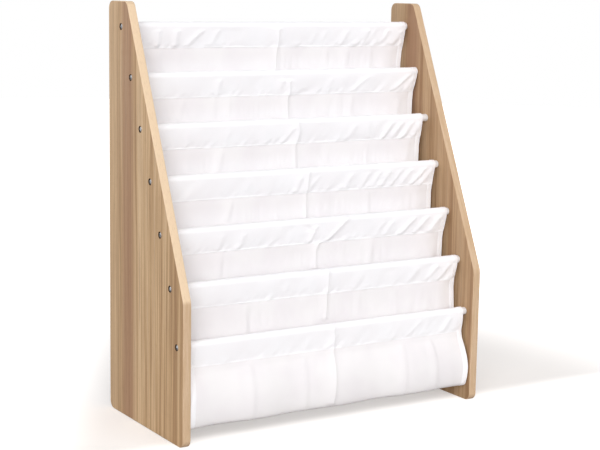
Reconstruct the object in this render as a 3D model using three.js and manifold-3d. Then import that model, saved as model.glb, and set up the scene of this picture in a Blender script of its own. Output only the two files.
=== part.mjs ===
// A sling bookshelf: two boards, seven rods between them, and six cloth pockets that hang on the rods.
// Millimetres, +Z up. The front faces -Y, and the origin is on the floor under the middle of the rack.

import * as THREE from "three";
import { mergeVertices } from "three/addons/utils/BufferGeometryUtils.js";
import Module from "manifold-3d";

const manifoldLibrary = await Module();
manifoldLibrary.setup();

// The boards at the two sides
const rackWidth = 616;
const rackDepth = 287;
const rackHeight = 731;
const boardThickness = 15;
const topDepth = 73;
const kneeHeight = 248;
const cornerRadius = 14;
const kneeRadius = 36;
const easedEdge = 1.2;

// The rods: a row behind the sloping edge, and one more behind the upright edge
const rodDiameter = 14;
const rodEdgeChamfer = 0.8;
const rowRodCount = 6;
const rowSetback = 38.8;
const topRodDrop = 43.5;
const kneeRodRise = 14.5;
const lowRodHeight = 168.5;
const lowRodSetback = 23.5;

// The bolts and the threaded inserts that they screw into
const shankDiameter = 6;
const headDiameter = 10.5;
const headHeight = 3.3;
const headRimHeight = 1;
const socketAcrossFlats = 4;
const socketDepth = 2;
const threadEngagement = 11.5;
const boltTipChamfer = 0.8;
const counterboreDiameter = 12;
const boardHoleDiameter = 7;
const insertDiameter = 9.2;
const insertLength = 14;
const insertBoreSpare = 2;

// The cloth, with the pockets' drop and spread
const clothThickness = 1;
const sleeveDrop = 36.5;
const seamBand = 3;
const sleeveSideGap = 8;
const wallDrawIn = 3;
const lowPocketFlare = 4;
const wallSpread = 1.5;
const spreadRun = 14;
const floorGap = 28.5;
const lowPocketBelly = 22;

// The soft upright folds of the pocket walls
const foldHeight = 2.4;
const foldWidth = 165;
const foldFadeRun = 45;
const foldShiftShares = [0.1, 0.62, 0.3, 0.85, 0.45, 0.05, 0.7];

// The least gap between two pieces, and the overrun of a cut
const fitGap = 0.3;
const cutOverrun = 1;

// Sides and steps of the round shapes
const cornerSteps = 7;
const kneeSteps = 3;
const rodSides = 16;
const boltSides = 12;
const boardHoleSides = 16;
const headDomeSteps = 3;
const sleeveArcSteps = 7;
const pocketArcSteps = 7;
const bellyRowCount = 4;
const clothColumnCount = 12;

const oakMaterial = new THREE.MeshStandardMaterial({ color: 0xc4a078, roughness: 0.62, metalness: 0 });
const rodMaterial = new THREE.MeshStandardMaterial({ color: 0xe9e9ec, roughness: 0.4, metalness: 0 });
const clothMaterial = new THREE.MeshStandardMaterial({ color: 0xf5f3f6, roughness: 0.85, metalness: 0 });
const boltMaterial = new THREE.MeshStandardMaterial({ color: 0x9b9da0, roughness: 0.32, metalness: 1 });
const insertMaterial = new THREE.MeshStandardMaterial({ color: 0xb9a067, roughness: 0.4, metalness: 1 });

// Sizes that follow from the ones above
const innerWidth = rackWidth - 2 * boardThickness;
const frontY = -rackDepth / 2;
const backY = rackDepth / 2;
const slopeRun = rackDepth - topDepth;
const slopeRise = rackHeight - kneeHeight;
const rodRadius = rodDiameter / 2;
const counterboreDepth = headHeight + fitGap;
const shankLength = boardThickness - counterboreDepth + threadEngagement;

const alongX = new THREE.Matrix4().makeBasis(
  new THREE.Vector3(0, 1, 0),
  new THREE.Vector3(0, 0, 1),
  new THREE.Vector3(1, 0, 0),
);

const rack = new THREE.Group();

// Places of the rods' axes, from the top rod down
function rodPlaces() {
  const topZ = rackHeight - topRodDrop;
  const kneeZ = kneeHeight + kneeRodRise;
  const setbackAlongY = rowSetback * Math.hypot(slopeRun, slopeRise) / slopeRise;
  const places = [];
  for (let i = 0; i < rowRodCount; i += 1) {
    const z = THREE.MathUtils.lerp(topZ, kneeZ, i / (rowRodCount - 1));
    const edgeY = frontY + (z - kneeHeight) * slopeRun / slopeRise;
    places.push({ y: edgeY + setbackAlongY, z });
  }
  places.push({ y: frontY + lowRodSetback, z: lowRodHeight });
  return places;
}

const rods = rodPlaces();

// A closed mesh whose corners are shared, without the triangles that collapse at an axis
function sharedCorners(geometry) {
  geometry.deleteAttribute("normal");
  geometry.deleteAttribute("uv");
  const merged = mergeVertices(geometry);
  const kept = [];
  for (let i = 0; i < merged.index.count; i += 3) {
    const [a, b, c] = [merged.index.getX(i), merged.index.getX(i + 1), merged.index.getX(i + 2)];
    if (a !== b && b !== c && c !== a) {
      kept.push(a, b, c);
    }
  }
  merged.setIndex(kept);
  return merged;
}

function toSolid(geometry) {
  const merged = sharedCorners(geometry);
  return new manifoldLibrary.Manifold(new manifoldLibrary.Mesh({
    numProp: 3,
    vertProperties: new Float32Array(merged.attributes.position.array),
    triVerts: new Uint32Array(merged.index.array),
  }));
}

function toGeometry(solid) {
  const mesh = solid.getMesh();
  const geometry = new THREE.BufferGeometry();
  geometry.setAttribute("position", new THREE.BufferAttribute(mesh.vertProperties, 3));
  geometry.setIndex(new THREE.BufferAttribute(mesh.triVerts, 1));
  return geometry;
}

function addPiece(name, geometry, material) {
  const piece = new THREE.Mesh(geometry, material);
  piece.name = name;
  rack.add(piece);
  return piece;
}

// A turned shape, from pairs of place along the axis and radius, with its axis along X
function turned(profile, sides) {
  const points = profile.map(([place, radius]) => new THREE.Vector2(radius, place));
  return new THREE.LatheGeometry(points, sides).rotateZ(-Math.PI / 2);
}

// An outline with a round arc at each corner, from corners in counterclockwise order
function roundedOutline(corners) {
  const points = [];
  corners.forEach(({ y, z, radius, steps }, i) => {
    const corner = new THREE.Vector2(y, z);
    const last = corners[(i + corners.length - 1) % corners.length];
    const next = corners[(i + 1) % corners.length];
    const toLast = new THREE.Vector2(last.y, last.z).sub(corner).normalize();
    const toNext = new THREE.Vector2(next.y, next.z).sub(corner).normalize();
    const halfAngle = Math.acos(toLast.dot(toNext)) / 2;
    const inward = toLast.clone().add(toNext).normalize();
    const centre = corner.clone().addScaledVector(inward, radius / Math.sin(halfAngle));
    const start = corner.clone().addScaledVector(toLast, radius / Math.tan(halfAngle)).sub(centre);
    const sweep = Math.PI - 2 * halfAngle;
    for (let step = 0; step <= steps; step += 1) {
      const turn = sweep * step / steps;
      points.push(start.clone().rotateAround(new THREE.Vector2(), turn).add(centre));
    }
  });
  return new THREE.Shape(points);
}

// One side board, standing in the YZ plane. The outward side is -1 on the left and +1 on the right.
function boardGeometry(outward) {
  const outline = roundedOutline([
    { y: frontY, z: 0, radius: cornerRadius, steps: cornerSteps },
    { y: backY, z: 0, radius: cornerRadius, steps: cornerSteps },
    { y: backY, z: rackHeight, radius: cornerRadius, steps: cornerSteps },
    { y: backY - topDepth, z: rackHeight, radius: cornerRadius, steps: cornerSteps },
    { y: frontY, z: kneeHeight, radius: kneeRadius, steps: kneeSteps },
  ]);
  const board = new THREE.ExtrudeGeometry(outline, {
    depth: boardThickness - 2 * easedEdge,
    bevelThickness: easedEdge,
    bevelSize: easedEdge,
    bevelOffset: -easedEdge,
    bevelSegments: 1,
  });
  board.translate(0, 0, easedEdge - boardThickness / 2).applyMatrix4(alongX);
  const cutter = toSolid(turned([
    [-boardThickness / 2 - cutOverrun, 0],
    [-boardThickness / 2 - cutOverrun, counterboreDiameter / 2],
    [-boardThickness / 2 + counterboreDepth, counterboreDiameter / 2],
    [-boardThickness / 2 + counterboreDepth, boardHoleDiameter / 2],
    [boardThickness / 2 + cutOverrun, boardHoleDiameter / 2],
    [boardThickness / 2 + cutOverrun, 0],
  ], boardHoleSides));
  const facing = outward < 0 ? cutter : cutter.rotate([0, 0, 180]);
  let solid = toSolid(board);
  for (const rod of rods) {
    solid = solid.subtract(facing.translate([0, rod.y, rod.z]));
  }
  return toGeometry(solid);
}

// A rod with a blind bore in each end for its insert
function rodGeometry() {
  const end = innerWidth / 2 - fitGap;
  const boreEnd = end - insertLength - insertBoreSpare;
  const boreRadius = insertDiameter / 2 + fitGap;
  const halfProfile = [
    [boreEnd, 0],
    [boreEnd, boreRadius],
    [end, boreRadius],
    [end, rodRadius - rodEdgeChamfer],
    [end - rodEdgeChamfer, rodRadius],
  ];
  const otherHalf = halfProfile.map(([place, radius]) => [-place, radius]);
  return turned([...otherHalf, ...halfProfile.reverse()], rodSides);
}

// A threaded insert, with its outer end at the origin and its length along +X
function insertGeometry() {
  const innerRadius = shankDiameter / 2 + fitGap;
  return turned([
    [0, innerRadius],
    [0, insertDiameter / 2],
    [insertLength, insertDiameter / 2],
    [insertLength, innerRadius],
    [0, innerRadius],
  ], boltSides);
}

// A button-head bolt with a hexagon socket, with its bearing face at the origin and its shank along +X
function boltGeometry() {
  const headRadius = headDiameter / 2;
  const domeHeight = headHeight - headRimHeight;
  const domeRadius = (headRadius ** 2 + domeHeight ** 2) / (2 * domeHeight);
  const domeAngle = Math.asin(headRadius / domeRadius);
  const dome = [];
  for (let step = 0; step <= headDomeSteps; step += 1) {
    const angle = domeAngle * step / headDomeSteps;
    dome.push([domeRadius * (1 - Math.cos(angle)) - headHeight, domeRadius * Math.sin(angle)]);
  }
  const body = toSolid(turned([
    ...dome,
    [0, headRadius],
    [0, shankDiameter / 2],
    [shankLength - boltTipChamfer, shankDiameter / 2],
    [shankLength, shankDiameter / 2 - boltTipChamfer],
    [shankLength, 0],
  ], boltSides));
  const socketRadius = socketAcrossFlats / Math.sqrt(3);
  const socket = toSolid(turned([
    [-headHeight - cutOverrun, 0],
    [-headHeight - cutOverrun, socketRadius],
    [-headHeight + socketDepth, socketRadius],
    [-headHeight + socketDepth, 0],
  ], 6));
  return toGeometry(body.subtract(socket));
}

// The depth of cloth from a seam, as a share from 0 at the seam to 1 where the folds are full
function foldShare(seamZ, z) {
  return THREE.MathUtils.smoothstep(seamZ - z, 0, foldFadeRun);
}

// How far the folds under one seam move the cloth forward or back, across the width
function foldWave(rodIndex, x) {
  return foldHeight * Math.sin(2 * Math.PI * (x / foldWidth + foldShiftShares[rodIndex]));
}

// Moves a line of points to its left by a distance, or to its right by a negative one
function offsetLine(points, distance) {
  return points.map((point, i) => {
    const before = points[Math.max(i - 1, 0)];
    const after = points[Math.min(i + 1, points.length - 1)];
    const along = after.clone().sub(before).normalize();
    return new THREE.Vector2(point.x - along.y * distance, point.y + along.x * distance);
  });
}

// The part of a sleeve that lies round its rod, as an arc from the front over the top to the back
function sleeveArc(rod, radius, drop) {
  const reach = Math.acos(radius / drop);
  const first = -Math.PI / 2 - reach + 2 * Math.PI;
  const last = -Math.PI / 2 + reach;
  const step = (first - last) / sleeveArcSteps;
  const cornerDistance = radius / Math.cos(step / 2);
  const points = [];
  for (let i = 0; i <= sleeveArcSteps; i += 1) {
    const angle = first - step * i;
    points.push(new THREE.Vector2(
      rod.y + cornerDistance * Math.cos(angle),
      rod.z + cornerDistance * Math.sin(angle),
    ));
  }
  return points;
}

// The hollow of a sleeve, drawn the other way round from the cloth's own outline
function sleeveHole(rod, seamY) {
  const drop = sleeveDrop - seamBand;
  return new THREE.Path([
    ...sleeveArc(rod, rodRadius + fitGap, drop).reverse(),
    new THREE.Vector2(seamY, rod.z - drop),
  ]);
}

// The middle line of one pocket's cloth, from the seam at its back down, round and up to the front seam
function pocketLine(index) {
  const back = rods[index];
  const front = rods[index + 1];
  const isLow = index === rods.length - 2;
  const seamOffset = (clothThickness + fitGap) / 2;
  const belly = isLow ? lowPocketBelly : 0;
  const backSeam = new THREE.Vector2(back.y - seamOffset, back.z - sleeveDrop);
  const frontSeam = new THREE.Vector2(front.y + (isLow ? 0 : seamOffset), front.z - sleeveDrop);
  const backWallY = backSeam.x - wallSpread;
  const frontWallY = frontSeam.x + wallSpread;
  const arcRadius = (backWallY - frontWallY + belly) / 2;
  const arcY = backWallY - arcRadius;
  const arcZ = front.z - (lowRodHeight - floorGap) + clothThickness / 2 + arcRadius;

  const line = [backSeam];
  const backRun = backSeam.y - arcZ;
  for (const depth of [spreadRun, foldFadeRun, (foldFadeRun + backRun) / 2]) {
    line.push(new THREE.Vector2(backWallY, backSeam.y - depth));
  }
  for (let step = 0; step <= pocketArcSteps; step += 1) {
    const angle = Math.PI * step / pocketArcSteps;
    line.push(new THREE.Vector2(arcY + arcRadius * Math.cos(angle), arcZ - arcRadius * Math.sin(angle)));
  }
  if (isLow) {
    for (let row = 1; row < bellyRowCount; row += 1) {
      const share = row / bellyRowCount;
      line.push(new THREE.Vector2(
        frontSeam.x - (belly - wallSpread) * Math.cos(share * Math.PI / 2),
        THREE.MathUtils.lerp(arcZ, frontSeam.y, share),
      ));
    }
  } else {
    for (const depth of [foldFadeRun, spreadRun]) {
      line.push(new THREE.Vector2(frontWallY, frontSeam.y - depth));
    }
  }
  line.push(frontSeam);
  return line;
}

// One sling: its outline is drawn in the YZ plane, extruded across the width, and then folded
function slingGeometry(index) {
  const back = rods[index];
  const front = rods[index + 1];
  const isLow = index === rods.length - 2;
  const line = pocketLine(index);
  const outside = offsetLine(line, clothThickness / 2);
  const inside = offsetLine(line, -clothThickness / 2).reverse();
  const outerRadius = rodRadius + fitGap + clothThickness;
  const frontSleeve = isLow ? sleeveArc(front, outerRadius, sleeveDrop) : [];
  const backSleeve = sleeveArc(back, outerRadius, sleeveDrop);
  const outline = new THREE.Shape([...outside, ...frontSleeve, ...inside, ...backSleeve]);
  outline.holes.push(sleeveHole(back, line[0].x));
  if (isLow) {
    outline.holes.push(sleeveHole(front, line.at(-1).x));
  }

  const width = innerWidth - 2 * sleeveSideGap;
  const cloth = new THREE.ExtrudeGeometry(outline, {
    depth: width,
    steps: clothColumnCount,
    bevelEnabled: false,
  });
  cloth.translate(0, 0, -width / 2).applyMatrix4(alongX);

  const backSeamZ = back.z - sleeveDrop;
  const frontSeamZ = front.z - sleeveDrop;
  const spot = cloth.attributes.position;
  for (let i = 0; i < spot.count; i += 1) {
    const [x, y, z] = [spot.getX(i), spot.getY(i), spot.getZ(i)];
    const frontness = THREE.MathUtils.smoothstep(back.y - y, 0, back.y - front.y - outerRadius);
    const backPull = (1 - frontness) * foldShare(backSeamZ, z);
    const frontPull = frontness * foldShare(frontSeamZ, z);
    const widening = (isLow ? lowPocketFlare : -wallDrawIn) * (backPull + frontPull);
    spot.setX(i, x * (1 + widening / (width / 2)));
    spot.setY(i, y + backPull * foldWave(index, x) + frontPull * foldWave(index + 1, x));
  }
  return sharedCorners(cloth);
}

addPiece("left_side_panel", boardGeometry(-1), oakMaterial).position.x = (boardThickness - rackWidth) / 2;
addPiece("right_side_panel", boardGeometry(1), oakMaterial).position.x = (rackWidth - boardThickness) / 2;

rods.forEach((rod, i) => {
  const number = i + 1;
  addPiece(`dowel_${number}`, rodGeometry(), rodMaterial).position.set(0, rod.y, rod.z);
  for (const [side, outward] of [["left", -1], ["right", 1]]) {
    const bolt = addPiece(`${side}_bolt_${number}`, boltGeometry(), boltMaterial);
    bolt.position.set(outward * (rackWidth / 2 - counterboreDepth + fitGap), rod.y, rod.z);
    const insert = addPiece(`${side}_insert_${number}`, insertGeometry(), insertMaterial);
    insert.position.set(outward * (innerWidth / 2 - fitGap), rod.y, rod.z);
    if (outward > 0) {
      bolt.rotation.z = Math.PI;
      insert.rotation.z = Math.PI;
    }
  }
  if (number < rods.length) {
    addPiece(`sling_${number}`, slingGeometry(i), clothMaterial);
  }
});

export default rack;
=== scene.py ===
# %% [markdown]
# # A sling bookshelf
#
# Two boards of laminated chipboard stand at the sides. Seven white rods run between them, each held by a
# bolt at both ends, and six slings of white cotton hang on the rods and hold the books. The CAD model gives
# the sizes and places. Here each surface gets its finish, and the cloth gets the folds, seams and hems that
# sewing and hanging leave in it. Lengths are in metres, +Z is up, and the rack's front faces -Y.

# %% Load the model and note its box
import math

import bmesh
import bpy
import numpy as np
from mathutils import Matrix, Vector
from mathutils.geometry import interpolate_bezier, tessellate_polygon


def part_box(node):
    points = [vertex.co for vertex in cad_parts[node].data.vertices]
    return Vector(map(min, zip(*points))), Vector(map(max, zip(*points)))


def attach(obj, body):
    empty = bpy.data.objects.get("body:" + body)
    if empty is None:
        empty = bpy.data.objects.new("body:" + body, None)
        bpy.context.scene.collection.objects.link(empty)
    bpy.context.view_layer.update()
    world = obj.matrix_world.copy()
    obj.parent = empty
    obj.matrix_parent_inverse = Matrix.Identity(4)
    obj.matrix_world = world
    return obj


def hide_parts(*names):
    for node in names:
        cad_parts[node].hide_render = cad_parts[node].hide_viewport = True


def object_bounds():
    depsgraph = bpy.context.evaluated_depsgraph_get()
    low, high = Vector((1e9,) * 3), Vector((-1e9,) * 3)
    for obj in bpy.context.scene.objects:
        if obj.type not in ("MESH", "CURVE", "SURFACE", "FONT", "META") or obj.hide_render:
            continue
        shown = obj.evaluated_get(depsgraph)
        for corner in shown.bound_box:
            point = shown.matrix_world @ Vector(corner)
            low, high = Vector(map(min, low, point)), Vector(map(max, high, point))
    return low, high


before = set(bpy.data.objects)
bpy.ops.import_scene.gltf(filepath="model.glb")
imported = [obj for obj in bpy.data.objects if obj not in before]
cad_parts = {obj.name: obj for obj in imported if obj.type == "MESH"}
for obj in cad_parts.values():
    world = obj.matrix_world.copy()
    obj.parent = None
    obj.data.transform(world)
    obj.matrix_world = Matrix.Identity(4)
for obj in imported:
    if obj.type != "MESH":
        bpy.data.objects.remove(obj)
cad_low, cad_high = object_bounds()
bpy.context.scene.view_settings.view_transform = "Standard"


def add_object(name, data):
    """A new object in the scene, which holds this mesh, lamp or camera"""
    made = bpy.data.objects.new(name, data)
    bpy.context.scene.collection.objects.link(made)
    return made


print("CAD box", [round(side, 4) for side in cad_high - cad_low])

# %% [markdown]
# ## The camera
#
# A camera is a place, a direction and a lens. This one stands to the left of the rack's front, a little
# higher than the rack, and looks slightly down. Its lens is long, so the rack is seen from over two metres
# away and its upright edges stay almost parallel. The direction is worked out from three angles, which is
# easier to correct than a matrix typed in by hand.

# %% Stand the camera in front and to the left
camera_place = Vector((-1.3775, -2.2174, 0.7676))
camera_turn, camera_tilt, camera_roll = 0.55675, 0.16467, -0.0175
sensor_width = 36.0
focal_pixels, picture_width = 1460.3, 600

forward = Vector((
    math.sin(camera_turn) * math.cos(camera_tilt),
    math.cos(camera_turn) * math.cos(camera_tilt),
    -math.sin(camera_tilt),
))
level_right = Vector((math.cos(camera_turn), -math.sin(camera_turn), 0))
level_down = forward.cross(level_right)
right = math.cos(camera_roll) * level_right + math.sin(camera_roll) * level_down
down = math.cos(camera_roll) * level_down - math.sin(camera_roll) * level_right

camera_data = bpy.data.cameras.new("camera")
camera_data.sensor_width = sensor_width
camera_data.lens = focal_pixels * sensor_width / picture_width
camera = add_object("camera", camera_data)
camera.matrix_world = (
    Matrix.Translation(camera_place)
    @ Matrix((right, -down, -forward)).transposed().to_4x4()
)
bpy.context.scene.camera = camera
print("lens", round(camera_data.lens, 2), "mm")

# %% [markdown]
# ## Shader maths as sums
#
# A material is a tree of nodes, and long trees are hard to read. This small class wraps one output socket
# of a node, so that a sum such as `1 - streaks * 0.2` adds the Math nodes that work it out. Every node is
# made by the one method `node`, which takes the node's type, its settings and what goes into its sockets.
# The same class serves Geometry Nodes, where the Math nodes are the same.


# %% Wrap a socket
class Wire:
    def __init__(self, tree, socket=None):
        self.tree = tree
        self.socket = socket

    def node(self, kind, settings=None, sockets=None, output=0):
        made = self.tree.nodes.new(kind)
        for name, value in (settings or {}).items():
            if name == "stops":
                ramp = made.color_ramp.elements
                while len(ramp) < len(value):
                    ramp.new(0.5)
                for stop, (place, colour) in zip(ramp, value):
                    stop.position, stop.color = place, (*colour, 1)
            else:
                setattr(made, name, value)
        for name, value in (sockets or {}).items():
            if isinstance(value, Wire):
                self.tree.links.new(value.socket, made.inputs[name])
            else:
                made.inputs[name].default_value = value
        return Wire(self.tree, made.outputs[output] if made.outputs else None)

    def maths(self, operation, *values):
        sockets = dict(enumerate(values))
        return self.node("ShaderNodeMath", {"operation": operation}, sockets)

    def __add__(self, other):
        return self.maths("ADD", self, other)

    def __mul__(self, other):
        return self.maths("MULTIPLY", self, other)

    def __sub__(self, other):
        return self.maths("SUBTRACT", self, other)

    def __rsub__(self, other):
        return self.maths("SUBTRACT", other, self)

    def __gt__(self, other):
        return self.maths("GREATER_THAN", self, other)

    def __lt__(self, other):
        return self.maths("LESS_THAN", self, other)

    __radd__ = __add__
    __rmul__ = __mul__

    def fade(self, start, end):
        settings = {"interpolation_type": "SMOOTHSTEP"}
        sockets = {"Value": self, "From Min": start, "From Max": end}
        return self.node("ShaderNodeMapRange", settings, sockets)

    def near(self, place, close, reach):
        """One closer than `close` to a place, and nothing beyond `reach`"""
        offset = self - place
        return 1 - offset.maths("ABSOLUTE", offset).fade(close, reach)

    def between(self, first, second):
        sockets = {0: self, 6: first, 7: second}
        return self.node("ShaderNodeMix", {"data_type": "RGBA"}, sockets, output=2)

    def stretched(self, scale):
        return self.node("ShaderNodeMapping", None, {"Vector": self, "Scale": scale})

    def noise(self, scale, detail=2.0, roughness=0.5):
        sockets = {"Vector": self, "Scale": scale, "Detail": detail, "Roughness": roughness}
        return self.node("ShaderNodeTexNoise", None, sockets)

    def split(self, part):
        return self.node("ShaderNodeSeparateXYZ", None, {"Vector": self}, output=part)

    def bump(self, depth, strength=1.0):
        sockets = {"Height": self, "Distance": depth, "Strength": strength}
        return self.node("ShaderNodeBump", None, sockets)


def colour(red, green, blue):
    """A colour as a paint chart gives it, from 0 to 255, in the linear numbers that shaders use"""
    shares = [part / 255 for part in (red, green, blue)]
    linear = [s / 12.92 if s <= 0.04045 else ((s + 0.055) / 1.055) ** 2.4 for s in shares]
    return (*linear, 1)


def new_material(name):
    """An empty material, and its Object coordinates to start from"""
    material = bpy.data.materials.new(name)
    material.use_nodes = True
    material.node_tree.nodes.clear()
    start = Wire(material.node_tree).node("ShaderNodeTexCoord", output="Object")
    return material, start


def finish_material(start, sockets):
    """Puts a Principled shader with these sockets on the material's surface"""
    surface = start.node("ShaderNodeBsdfPrincipled", None, sockets)
    start.node("ShaderNodeOutputMaterial", None, {"Surface": surface})


print("the shader helpers are ready")

# %% [markdown]
# ## The board's face
#
# The boards aren't solid oak. A printed oak pattern is pressed on chipboard and sealed with a dull clear
# film, so the grain shows but can hardly be felt. Light oak that is cut along the trunk has straight bands
# a finger wide, thin dark lines between them, and short pores along the grain. Noise that is stretched
# along Z gives all three, and the bands drift a little sideways, because no trunk grows quite straight.
# Some of the pattern has a place of its own: a reddish heart towards the back, a pale streak in the middle
# and a pale zone along the back edge. The right board's inner face is painted darker. This is painted
# shade, because that face lies in shade beside the slings.

# %% Print the oak pattern
oak_light, oak_mid = colour(240, 207, 165), colour(208, 172, 129)
oak_deep, oak_line_and_shade = colour(172, 134, 97), colour(138, 102, 74)
oak_heart = colour(176, 134, 105)
heart_place, streak_place, pale_zone = (0.068, 0.0096, 0.032), (0.024, 0.002, 0.009), (0.085, 0.125)
inner_shade_limit = 0.30

oak_face, spot = new_material("oak_face")
drift = (spot.stretched((8, 8, 2.2)).noise(1.0, 1.0) - 0.5) * 0.012
across = spot.split("Y") + drift
shifted = spot.node("ShaderNodeCombineXYZ", None, {0: spot.split("X") * 3.0, 1: across, 2: spot.split("Z")})
bands = shifted.stretched((20, 62, 1.1)).noise(1.0, 3.0, 0.55)
strands = shifted.stretched((60, 330, 3.2)).noise(1.0, 3.0, 0.6)
hairs = shifted.stretched((90, 1150, 9.0)).noise(1.0, 2.0, 0.6)
pores = shifted.stretched((90, 1500, 55)).noise(1.0, 1.0, 0.5)
veins = (strands * 0.6 + bands * 0.4).fade(0.53, 0.64)
# Painted shade: the right board's inner face is darkened here, because that face lies in shade.
painted_shade_inside = (spot.split("X") > 0) * (spot.split("X") < inner_shade_limit)

oak_colour = bands.node("ShaderNodeValToRGB", {"stops": [
    (0.40, oak_deep[:3]), (0.50, oak_mid[:3]), (0.59, oak_light[:3]),
]}, {"Fac": bands * 0.5 + strands * 0.5})
for share, tone in (
    (across.fade(*pale_zone) * 0.42, oak_light),
    (across.near(*streak_place) * 0.55, oak_light),
    (across.near(*heart_place) * (0.35 + strands * 0.7), oak_heart),
    (veins * 0.42, oak_line_and_shade),
    (hairs.fade(0.48, 0.66) * 0.28, oak_line_and_shade),
    (pores.fade(0.62, 0.74) * 0.35, oak_line_and_shade),
    # painted shade on the right board's inner face
    (painted_shade_inside * 0.42, oak_line_and_shade),
):
    oak_colour = share.between(oak_colour, tone)
finish_material(spot, {
    "Base Color": oak_colour,
    "Roughness": 0.5 + pores.fade(0.6, 0.74) * 0.12 - bands * 0.06,
    "Specular IOR Level": 0.35,
    "Normal": (hairs * 0.5 + pores * 0.5).bump(0.00008, 0.35),
})
print("oak_face has", len(oak_face.node_tree.nodes), "nodes")

# %% [markdown]
# ## The board's edges and its core
#
# A thin strip is glued round the board's edge, and it is printed paler than the face. Its grain runs along
# the strip, so the pattern follows the mesh's own UV map: U is the distance along the edge and V the place
# across it, with a dark line of glue where the strip meets the outer face. On the left board the length
# above the knee is painted brighter. This is painted light, where that edge faces the lamps. The bolt holes
# cut through to the chipboard, a mix of chips that is painted much darker than bare chipboard. This is
# painted shade in the deep counterbores.

# %% Print the edge strip and mix the chipboard
edge_pale, edge_warm, edge_painted_light = colour(211, 182, 150), colour(201, 169, 134), colour(234, 207, 173)
painted_light_from, painted_light_back, glue_width = (0.244, 0.252), 0.12, (0.0001, 0.0006)

oak_edge, spot = new_material("oak_edge")
along_edge = spot.node("ShaderNodeUVMap", {"uv_map": "along_edge"})
edge_bands = along_edge.stretched((14, 180, 1)).noise(1.0, 3.0, 0.55)
edge_flecks = along_edge.stretched((110, 900, 1)).noise(1.0, 2.0, 0.55)
# Painted light: the left board's edge above the knee faces the lamps, so it is painted brighter.
painted_light_above_knee = (spot.split("X") < 0) * spot.split("Z").fade(*painted_light_from) * (spot.split("Y") < painted_light_back)
glue_line = 1 - along_edge.split("Y").fade(*glue_width)

edge_colour = edge_bands.fade(0.34, 0.66).between(edge_warm, edge_pale)
# painted light on the left board's edge above the knee
edge_colour = (painted_light_above_knee * 0.85).between(edge_colour, edge_painted_light)
edge_colour = (edge_flecks.fade(0.52, 0.70) * 0.22).between(edge_colour, oak_deep)
edge_colour = (glue_line * 0.35).between(edge_colour, oak_deep)
finish_material(spot, {
    "Base Color": edge_colour,
    "Roughness": 0.46 + edge_flecks * 0.08,
    "Specular IOR Level": 0.4,
    "Normal": edge_flecks.bump(0.00006, 0.3),
})

# Painted shade: the chips are mixed much darker than bare chipboard, because the deep, narrow counterbores
# lie in shade.
chipboard, spot = new_material("chipboard")
chips = spot.node("ShaderNodeTexVoronoi", None, {"Vector": spot, "Scale": 700.0}, "Color")
chip_tone = chips.node("ShaderNodeRGBToBW", None, {"Color": chips})
finish_material(spot, {
    "Base Color": chip_tone.between(colour(46, 35, 26), colour(104, 80, 58)),
    "Roughness": 0.9,
    "Normal": chip_tone.bump(0.0002, 0.6),
})
print("oak_edge and chipboard are mixed")

# %% [markdown]
# ## The rods' lacquer
#
# The rods are turned wood under white satin lacquer. Only a short stub shows at each end, beside the cloth,
# and the lacquer is a little uneven there, as a brush or a dip leaves it. A fine noise round the rod gives
# that to the gloss and the surface, and hardly any to the colour.

# %% Mix the white lacquer
white_lacquer, spot = new_material("white_lacquer")
brushed = spot.stretched((25, 240, 240)).noise(1.0, 3.0)
finish_material(spot, {
    "Base Color": brushed.fade(0.3, 0.7).between(colour(238, 238, 240), colour(247, 247, 248)),
    "Roughness": 0.3 + brushed * 0.14,
    "Specular IOR Level": 0.5,
    "Normal": brushed.bump(0.00012, 0.3),
})
print("white_lacquer is mixed")

# %% [markdown]
# ## Bolts and inserts
#
# The bolts are steel with a bright zinc plating, which has fine turning marks and small duller patches.
# The threaded inserts are brass and lie hidden in the rods. A bare metal takes its look from what it
# reflects, so both are mostly a roughness that varies.

# %% Plate the steel and turn the brass
bolt_steel, spot = new_material("bolt_steel")
patches = spot.noise(900.0, 3.0)
finish_material(spot, {
    "Base Color": patches.between(colour(176, 178, 182), colour(224, 226, 228)),
    "Metallic": 1.0,
    "Roughness": 0.2 + patches.fade(0.35, 0.7) * 0.22,
    "Normal": spot.stretched((60, 60, 2200)).noise(1.0, 2.0).bump(0.00003, 0.3),
})

insert_brass, spot = new_material("insert_brass")
tarnish = spot.noise(400.0, 3.0)
finish_material(spot, {
    "Base Color": tarnish.between(colour(186, 150, 84), colour(222, 190, 122)),
    "Metallic": 1.0,
    "Roughness": 0.28 + tarnish * 0.25,
    "Normal": spot.maths("SINE", spot.split("X") * 5000).bump(0.0003, 0.8),
})
for side in ("left", "right"):
    for number in range(1, 8):
        for material_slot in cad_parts[f"{side}_insert_{number}"].material_slots:
            material_slot.material = insert_brass
print("bolt_steel and insert_brass are mixed")

# %% [markdown]
# ## The cotton
#
# The slings are a plain white cotton weave. Its threads are half a millimetre apart, far finer than the
# picture can show, but they give a close look its texture. The pattern follows the cloth on its UV map,
# where U and V are distances on the flat cut. A very faint unevenness keeps so large a white surface from
# looking like paper. Thin cotton lets some light through, so it looks a brighter white where it lies
# double.
# How double it is comes from an attribute of the mesh, "layers". Low on the upper walls
# that attribute also carries painted light. The sewing thread is a little glossier.

# %% Weave the cloth and spin the thread
thread_pitch = 0.0005

white_cotton, spot = new_material("white_cotton")
on_cloth = spot.node("ShaderNodeUVMap", {"uv_map": "on_cloth"})
warp, weft = (
    on_cloth.maths("SINE", on_cloth.split(axis) * (2 * math.pi / thread_pitch)) for axis in "XY"
)
slubs = on_cloth.stretched((1, 6, 1)).noise(160.0, 3.0)
clouds = on_cloth.noise(14.0, 2.0).fade(0.35, 0.65)
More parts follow.
